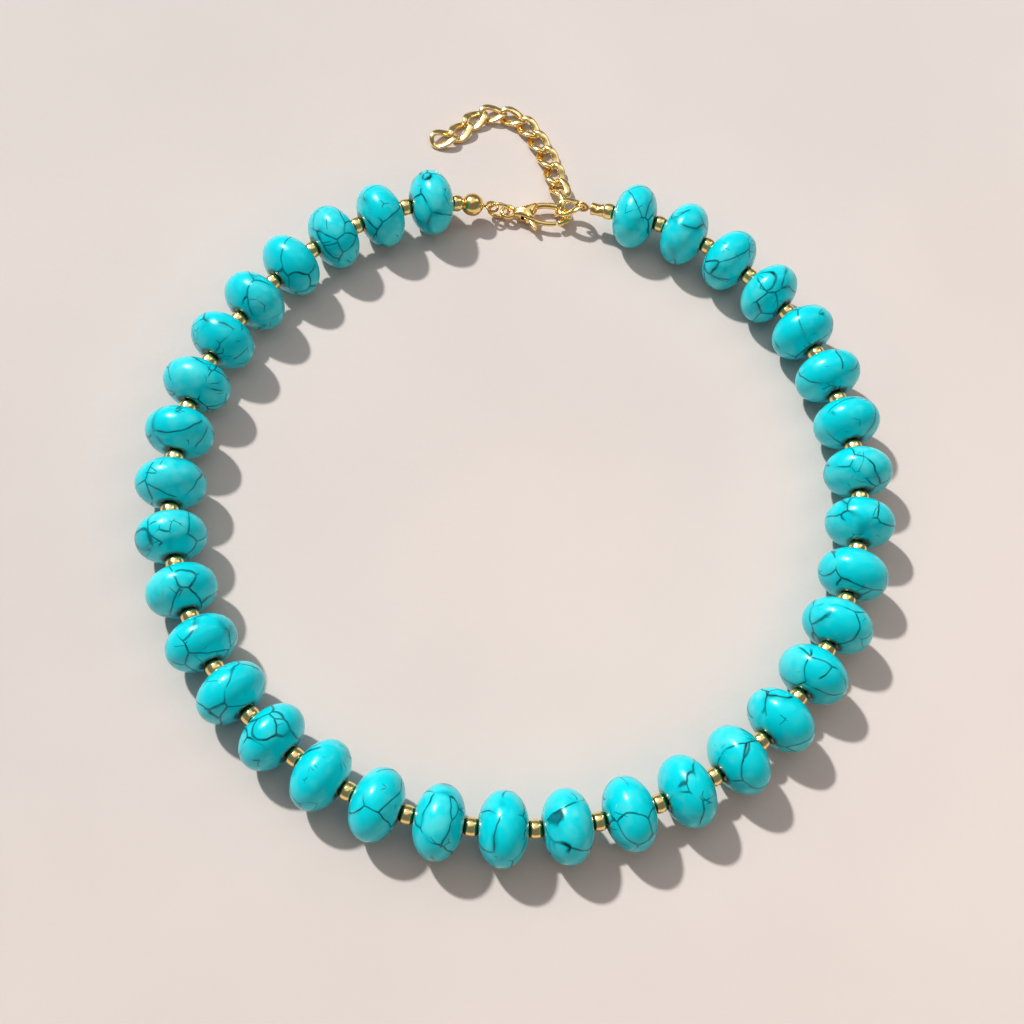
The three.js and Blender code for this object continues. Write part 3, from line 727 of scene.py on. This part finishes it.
class NECKLACE_OT_add_crimps(bpy.types.Operator):
    """Add the round crimp cover and the flattened crimp tube at the string's ends"""
    bl_idname = "necklace.add_crimps"
    bl_label = "Add Crimps"

    def execute(self, context):
        s = context.scene.gold_settings
        gold = plated_gold("gold_plated_brass_pressed", s.gold, 0.12, 1.0 * MM)
        centres, axes, ball, tube = string_points()
        add_piece("crimp_cover", [crimp_cover(ball, unit(ball - centres[0]))], gold,
                  node="crimp_ball")
        add_piece("crimped_tube", [crimped_tube(tube, unit(tube - centres[-1]))], gold,
                  node="crimp_tube")
        return {"FINISHED"}


def crimp_cover(centre, axis):
    """A ball with open mouths, its wall turned in there, and a pressed seam: the radius drops by
    depth exp(-(x/width)^2) at arc distance x from the seam's line."""
    last = math.acos(BALL_MOUTH / BALL_RADIUS)
    angle = np.linspace(-last, last, 41)
    hole = [CRIMP_HOLE + 0.02, CRIMP_HOLE, CRIMP_HOLE, CRIMP_HOLE, CRIMP_HOLE + 0.02]
    r = np.concatenate([BALL_RADIUS * np.cos(angle), hole])
    end = BALL_RADIUS * math.sin(last)
    inwards = [end - 0.06, end - 0.4, 0, 0.4 - end, 0.06 - end]
    h = np.concatenate([BALL_RADIUS * np.sin(angle), inwards])
    a, ring = around(axis, 72)
    turn = (a + SEAM_BEARING + math.pi) % TAU - math.pi
    seam = SEAM_DEPTH * np.exp(-((turn * r[:, None]) / SEAM_WIDTH) ** 2) * (r[:, None] > 0.8)
    return grid_mesh(centre + h[:, None, None] * axis + (r[:, None] - seam)[..., None] * ring)


def crimped_tube(centre, axis):
    """A tube with rounded ends, pressed flat in its middle: upwards it is scaled by
    1 - 0.3 exp(-(h/0.7)^2)."""
    bend = np.linspace(0, math.pi / 2, 6)
    rounded, end = TUBE_EDGE * np.sin(bend), TUBE_EDGE * np.cos(bend)
    inner, start = TUBE_RADIUS - TUBE_EDGE, TUBE_HALF - TUBE_EDGE
    hole = [CRIMP_HOLE + 0.1, CRIMP_HOLE, CRIMP_HOLE, CRIMP_HOLE, CRIMP_HOLE + 0.1]
    inwards = [TUBE_HALF, TUBE_HALF - 0.1, 0, 0.1 - TUBE_HALF, -TUBE_HALF]
    r = np.concatenate([inner + rounded, np.full(9, TUBE_RADIUS), inner + end, hole])
    h = np.concatenate([-start - end, np.linspace(-0.9, 0.9, 9), start + rounded, inwards])
    side, lift = square_to(axis)
    a = np.linspace(0, TAU, 48, endpoint=False)
    flat = 1 - 0.3 * np.exp(-(h / 0.7) ** 2)
    ring = np.cos(a)[:, None] * side + flat[:, None, None] * (np.sin(a)[:, None] * lift)
    return grid_mesh(centre + h[:, None, None] * axis + r[:, None, None] * ring)


class NECKLACE_OT_add_jump_ring(bpy.types.Operator):
    """Add the jump ring that stands on edge between the string and the clasp"""
    bl_idname = "necklace.add_jump_ring"
    bl_label = "Add Jump Ring"

    def execute(self, context):
        s = context.scene.gold_settings
        low, high = (np.array(corner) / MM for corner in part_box("jump_ring"))
        centre = (low + high) / 2
        wire = (high[1] - low[1]) / 2
        radius = (high[2] - low[2]) / 2 - wire
        a = np.linspace(RING_CUT, TAU - RING_CUT, 72)[:, None] + RING_BEARING
        path = centre + radius * (np.cos(a) * (1, 0, 0) + np.sin(a) * UP)
        shell = sweep(path, 16, RING_WIRE, RING_WIRE, (0, 1, 0))
        gold = plated_gold("gold_plated_brass_drawn_ring", s.gold, 0.12, 1.2 * MM)
        add_piece("drawn_jump_ring", [shell], gold, node="jump_ring")
        return {"FINISHED"}


class NECKLACE_OT_add_extender_chain(bpy.types.Operator):
    """Add the twisted curb links of the extender chain"""
    bl_idname = "necklace.add_extender_chain"
    bl_label = "Add Extender Chain"

    def execute(self, context):
        s = context.scene.gold_settings
        links = [curb_link(*place, share) for place, share in zip(LINKS, HAMMERED)]
        gold = plated_gold("gold_plated_brass_curb_link", s.chain_gold, 0.16, 0.9 * MM)
        add_piece("curb_extender_chain", links, gold, node="extender_chain")
        return {"FINISHED"}


def curb_link(centre, along, normal, hammered):
    """One curb link: the oval x = length cos t, y = (width - b) sin t, lifted by -twist sin 2t out
    of its plane, swept by a band that lies flat to the link's face. Half of the band's width grows
    by b sin^2 t and half of its thickness falls by b sin^2 t / 2, so it is round at the ends and,
    where b, the hammering, is large, broad and flat along the sides, while the link's outer size
    stays the same."""
    along = unit(along)
    width = unit(np.cross(normal, along))
    flat = np.cross(along, width)
    t = np.linspace(0, TAU, 64, endpoint=False)
    local = np.column_stack([LINK_LENGTH * np.cos(t), (LINK_WIDTH - hammered) * np.sin(t),
                             -LINK_TWIST * np.sin(2 * t)])
    path = centre + local @ np.vstack([along, width, flat])
    broad = hammered * np.sin(t) ** 2
    return sweep(path, 20, BAND_WIDTH + broad, BAND_THICKNESS - broad / 2, flat,
                 closed=True, square=0.75)


class NECKLACE_OT_add_lobster_clasp(bpy.types.Operator):
    """Add the cast clasp body with its hook, the spring lever and its rivet"""
    bl_idname = "necklace.add_lobster_clasp"
    bl_label = "Add Lobster Clasp"

    def execute(self, context):
        s = context.scene.gold_settings
        gold = plated_gold("gold_plated_brass_cast", s.gold, 0.14, 1.6 * MM)
        low, high = (np.array(corner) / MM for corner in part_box("clasp_body"))
        eye = np.array([low[0] + EYE_EDGE, high[1] - EYE_SIDE, (low[2] + high[2]) / 2])
        add_piece("clasp_casting", placed(clasp_casting(), eye), gold,
                  node="clasp_body")
        add_piece("clasp_spring_lever", placed(clasp_lever(), eye), gold, body="lever",
                  node="clasp_lever")
        add_piece("clasp_rivet_pin", placed(clasp_rivet(), eye), gold,
                  node="clasp_rivet")
        return {"FINISHED"}


def placed(shells, place):
    """The shells moved to a place."""
    return [(shell[0] + place, *shell[1:]) for shell in shells]


def hook_arc(half_length, half_width, start, end, count):
    """Points of the ellipse x = middle + a cos t, y = b sin t at mid height, with t in degrees."""
    t = np.radians(np.linspace(start, end, count))
    return np.column_stack([HOOK_X + half_length * np.cos(t), half_width * np.sin(t),
                            np.zeros(count)])


def clasp_casting():
    """Eye ring, solid shoulder with a slot for the lever between two cheeks, and the hook swept
    along the drop's ellipse from the north shoulder round the nose to its tip."""
    a = np.linspace(0, TAU, 48, endpoint=False)
    eye = np.column_stack([EYE_RADIUS * np.cos(a), EYE_RADIUS * np.sin(a), np.zeros(48)])

    # The shoulder's edges: the north one from the eye to the hook, the south one back to the eye
    t = np.linspace(0, 1, 14)
    north = np.column_stack([0.95 + 4.45 * t, 0.7 + 1.4 * t ** 1.25])
    south = np.column_stack([5.1 - 4.15 * t, -2.15 + 1.45 * t ** 0.85])

    # The core ends short of the lever's root, and the cheeks above and below it reach over the root
    mouth = [[5.65, 1.9], [5.7, 1.5], [5.5, 0.9], [5.1, 0.45], [4.2, 0.42], [3.1, 0.38]]
    slot = [[2.8, 0.2], [2.78, -0.6], [2.5, -1.2], [2.1, -1.1]]
    neck = [[1.6, -0.95], [1.15, -0.8], [0.95, 0.0]]
    core = np.vstack([north, mouth, slot, neck])
    front = [[5.6, 1.7], [5.35, 0.9], [5.05, 0.1], [5.0, -0.8], [5.15, -1.7]]
    drop = np.vstack([north, front, south])
    core_at, cheek_at = np.array([2.7, 0.75]), np.array([3.5, 0.0])
    body = pillow(smoothed(core), core_at, -1.0, 1.0, 0.5)
    cheek = pillow(smoothed(drop), cheek_at, 0.55, 1.35, 0.1, top=0.7, dome=1.15)
    lower_cheek = (cheek[0] * (1, 1, -1), *cheek[1:])
    hook = hook_arc(HOOK_LENGTH, HOOK_WIDTH, 130, -63, 60)
    return [
        sweep(eye, 16, *EYE_WIRE, UP, closed=True),
        *(thinned(shell) for shell in (body, cheek, lower_cheek)),
        sweep(hook, 18, *HOOK_WIRE, UP, round_ends=2),
    ]


def thinned(shell):
    """The shell with its height scaled by 0.6 + 0.4 s, where s rises smoothly from 0 at x = 0.8 to 1
    at x = 3.2, so that the clasp thins out towards its eye."""
    corners = shell[0]
    share = np.clip((corners[:, 0] - 0.8) / 2.4, 0, 1)
    corners[:, 2] *= 0.6 + 0.4 * share ** 2 * (3 - 2 * share)
    return (corners, *shell[1:])


def smoothed(outline, count=96):
    """The outline resampled evenly by its length and averaged with its neighbours three times."""
    closed = np.vstack([outline, outline[:1]])
    step = np.linalg.norm(np.diff(closed, axis=0), axis=1)
    length = np.concatenate([[0], np.cumsum(step)])
    at = np.linspace(0, length[-1], count, endpoint=False)
    even = np.column_stack([np.interp(at, length, closed[:, i]) for i in (0, 1)])
    for _ in range(3):
        even = (np.roll(even, 1, 0) + 2 * even + np.roll(even, -1, 0)) / 4
    return even


def clasp_lever():
    """Round root on the rivet, gate swept along the drop's ellipse from the root to its tip, and an
    oval thumb tab that stands out past the clasp's side."""
    a = np.linspace(0, TAU, 60, endpoint=False)
    root = PIVOT + ROOT_RADIUS * np.column_stack([np.cos(a), np.sin(a)])
    cos, sin = math.cos(math.radians(TAB_HEADING)), math.sin(math.radians(TAB_HEADING))
    turn = np.array([[cos, sin], [-sin, cos]])
    oval = np.column_stack([TAB_AT + TAB_LENGTH * np.cos(a), TAB_WIDTH * np.sin(a)])
    tab, tab_at = PIVOT + oval @ turn, PIVOT + np.array([TAB_AT, 0.0]) @ turn
    gate = hook_arc(GATE_LENGTH, GATE_WIDTH, -150, -64.6, 36)
    return [
        pillow(root, PIVOT, -0.45, 0.45, 0.15),
        pillow(tab, tab_at, -0.44, 0.44, 0.2, dome=0.4),
        sweep(gate, 16, *GATE_WIRE, UP, round_ends=2),
    ]


def clasp_rivet():
    """A round pin with low domed heads: its radius is even up to the cheeks, and each head closes
    as radius cos v over dome sin v."""
    v = np.linspace(0, math.pi / 2, 8)[:-1]
    head, rise = RIVET_RADIUS * np.cos(v), RIVET_HALF + RIVET_DOME * np.sin(v)
    r, h = np.concatenate([head[::-1], head]), np.concatenate([-rise[::-1], rise])
    a = np.linspace(0, TAU, 32, endpoint=False)
    ring = np.column_stack([np.cos(a), np.sin(a), np.zeros(32)])
    return [capped(np.array([*PIVOT, 0.0]) + h[:, None, None] * UP + r[:, None, None] * ring)]


class NECKLACE_OT_set_stage(bpy.types.Operator):
    """Lay the plaster surface, and set the lights and the camera"""
    bl_idname = "necklace.set_stage"
    bl_label = "Set Stage"

    def execute(self, context):
        s = context.scene.stage_settings
        scene = context.scene
        mesh = bpy.data.meshes.new("plaster_surface")
        square = ((-1, -1), (1, -1), (1, 1), (-1, 1))
        corners = [(x * SURFACE_REACH, y * SURFACE_REACH, 0) for x, y in square]
        mesh.from_pydata(corners, [], [(0, 1, 2, 3)])
        mesh.materials.append(pale_plaster())
        floor = bpy.data.objects.new("plaster_surface", mesh)
        context.collection.objects.link(floor)

        sun = bpy.data.lights.new("window_sun", "SUN")
        sun.energy, sun.angle, sun.color = 3.55, math.radians(3.2), SUNLIGHT
        level = math.cos(s.sun_height)
        towards = Vector((level * math.cos(s.sun_bearing), level * math.sin(s.sun_bearing),
                          math.sin(s.sun_height)))
        place_light(sun, towards * SUN_DISTANCE)

        # Name, width and height in metres, watts, colour and place in metres
        softboxes = (
            ("side_softbox", 0.2, 0.3, 0.25, WHITE, (0.3, 0.22, 0.42)),
            ("ceiling_softbox", 0.6, 0.6, 0.7, WHITE, (-0.08, 0.14, 0.55)),
            ("warm_bounce", 0.3, 0.16, 0.26, WARM, (0.17, -0.2, 0.26)),
            ("window_gloss", 0.2, 0.25, 2.6, WHITE, towards * GLOSS_DISTANCE),
        )
        for name, width, height, watts, colour, place in softboxes:
            softbox = bpy.data.lights.new(name, "AREA")
            softbox.shape, softbox.size, softbox.size_y = "RECTANGLE", width, height
            softbox.energy, softbox.color = watts, colour
            light = place_light(softbox, Vector(place))
            # The gloss light shows in reflections alone, so the sun's shadows stay crisp, and the
            # warm light from the front right has no highlight of its own
            light.visible_diffuse = name != "window_gloss"
            light.visible_glossy = name != "warm_bounce"

        world = bpy.data.worlds.new("pale_room")
        scene.world = world
        world.use_nodes = True
        background = world.node_tree.nodes["Background"]
        background.inputs["Color"].default_value = linear("#D8DDEB")
        background.inputs["Strength"].default_value = 0.245
        scene.view_settings.view_transform = "Standard"

        set_camera(s, scene)
        return {"FINISHED"}


def place_light(data, place):
    """A light at a place, aimed at the middle of the surface."""
    light = bpy.data.objects.new(data.name, data)
    light.rotation_euler = Vector(place).to_track_quat("Z", "Y").to_euler()
    light.location = place
    bpy.context.collection.objects.link(light)
    return light


def set_camera(s, scene):
    """The camera stands off by its distance along its bearing and height from the point that it
    looks at, and is rolled about its own axis."""
    level = math.cos(s.camera_height)
    back = Vector((math.sin(s.camera_bearing) * level, -math.cos(s.camera_bearing) * level,
                   math.sin(s.camera_height)))
    right = Vector(UP).cross(back).normalized()
    up = back.cross(right)
    across = right * math.cos(s.camera_roll) + up * math.sin(s.camera_roll)
    above = up * math.cos(s.camera_roll) - right * math.sin(s.camera_roll)
    data = bpy.data.cameras.new("camera")
    data.sensor_width, data.lens, data.clip_start = SENSOR, LENS, 0.01
    camera = bpy.data.objects.new("camera", data)
    turn = Matrix((across, above, back)).transposed().to_4x4()
    camera.matrix_world = Matrix.Translation(TARGET + back * s.camera_distance) @ turn
    bpy.context.collection.objects.link(camera)
    scene.camera = camera


class NECKLACE_PT_panel(bpy.types.Panel):
    """Sizes, colours and makers of the necklace's pieces"""
    bl_idname = "NECKLACE_PT_panel"
    bl_label = "Rondelle Necklace"
    bl_space_type = "VIEW_3D"
    bl_region_type = "UI"
    bl_category = "Necklace"

    def draw(self, context):
        scene = context.scene
        for group in (scene.rondelle_settings, scene.gold_settings, scene.stage_settings):
            box = self.layout.box()
            for name in group.__annotations__:
                box.prop(group, name)
        for maker in MAKERS:
            self.layout.operator(maker.bl_idname)


MAKERS = (
    NECKLACE_OT_set_stage,
    NECKLACE_OT_add_rondelles,
    NECKLACE_OT_add_string,
    NECKLACE_OT_add_crimps,
    NECKLACE_OT_add_jump_ring,
    NECKLACE_OT_add_extender_chain,
    NECKLACE_OT_add_lobster_clasp,
)
CLASSES = (RondelleSettings, GoldSettings, StageSettings, *MAKERS, NECKLACE_PT_panel)


def register():
    for cls in CLASSES:
        bpy.utils.register_class(cls)
    bpy.types.Scene.rondelle_settings = bpy.props.PointerProperty(type=RondelleSettings)
    bpy.types.Scene.gold_settings = bpy.props.PointerProperty(type=GoldSettings)
    bpy.types.Scene.stage_settings = bpy.props.PointerProperty(type=StageSettings)


def unregister():
    del bpy.types.Scene.stage_settings
    del bpy.types.Scene.gold_settings
    del bpy.types.Scene.rondelle_settings
    for cls in reversed(CLASSES):
        bpy.utils.unregister_class(cls)


def main():
    register()
    bpy.ops.necklace.set_stage()
    bpy.ops.necklace.add_rondelles()
    bpy.ops.necklace.add_string()
    bpy.ops.necklace.add_crimps()
    bpy.ops.necklace.add_jump_ring()
    bpy.ops.necklace.add_extender_chain()
    bpy.ops.necklace.add_lobster_clasp()
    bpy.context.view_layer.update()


if __name__ == "__main__":
    main()
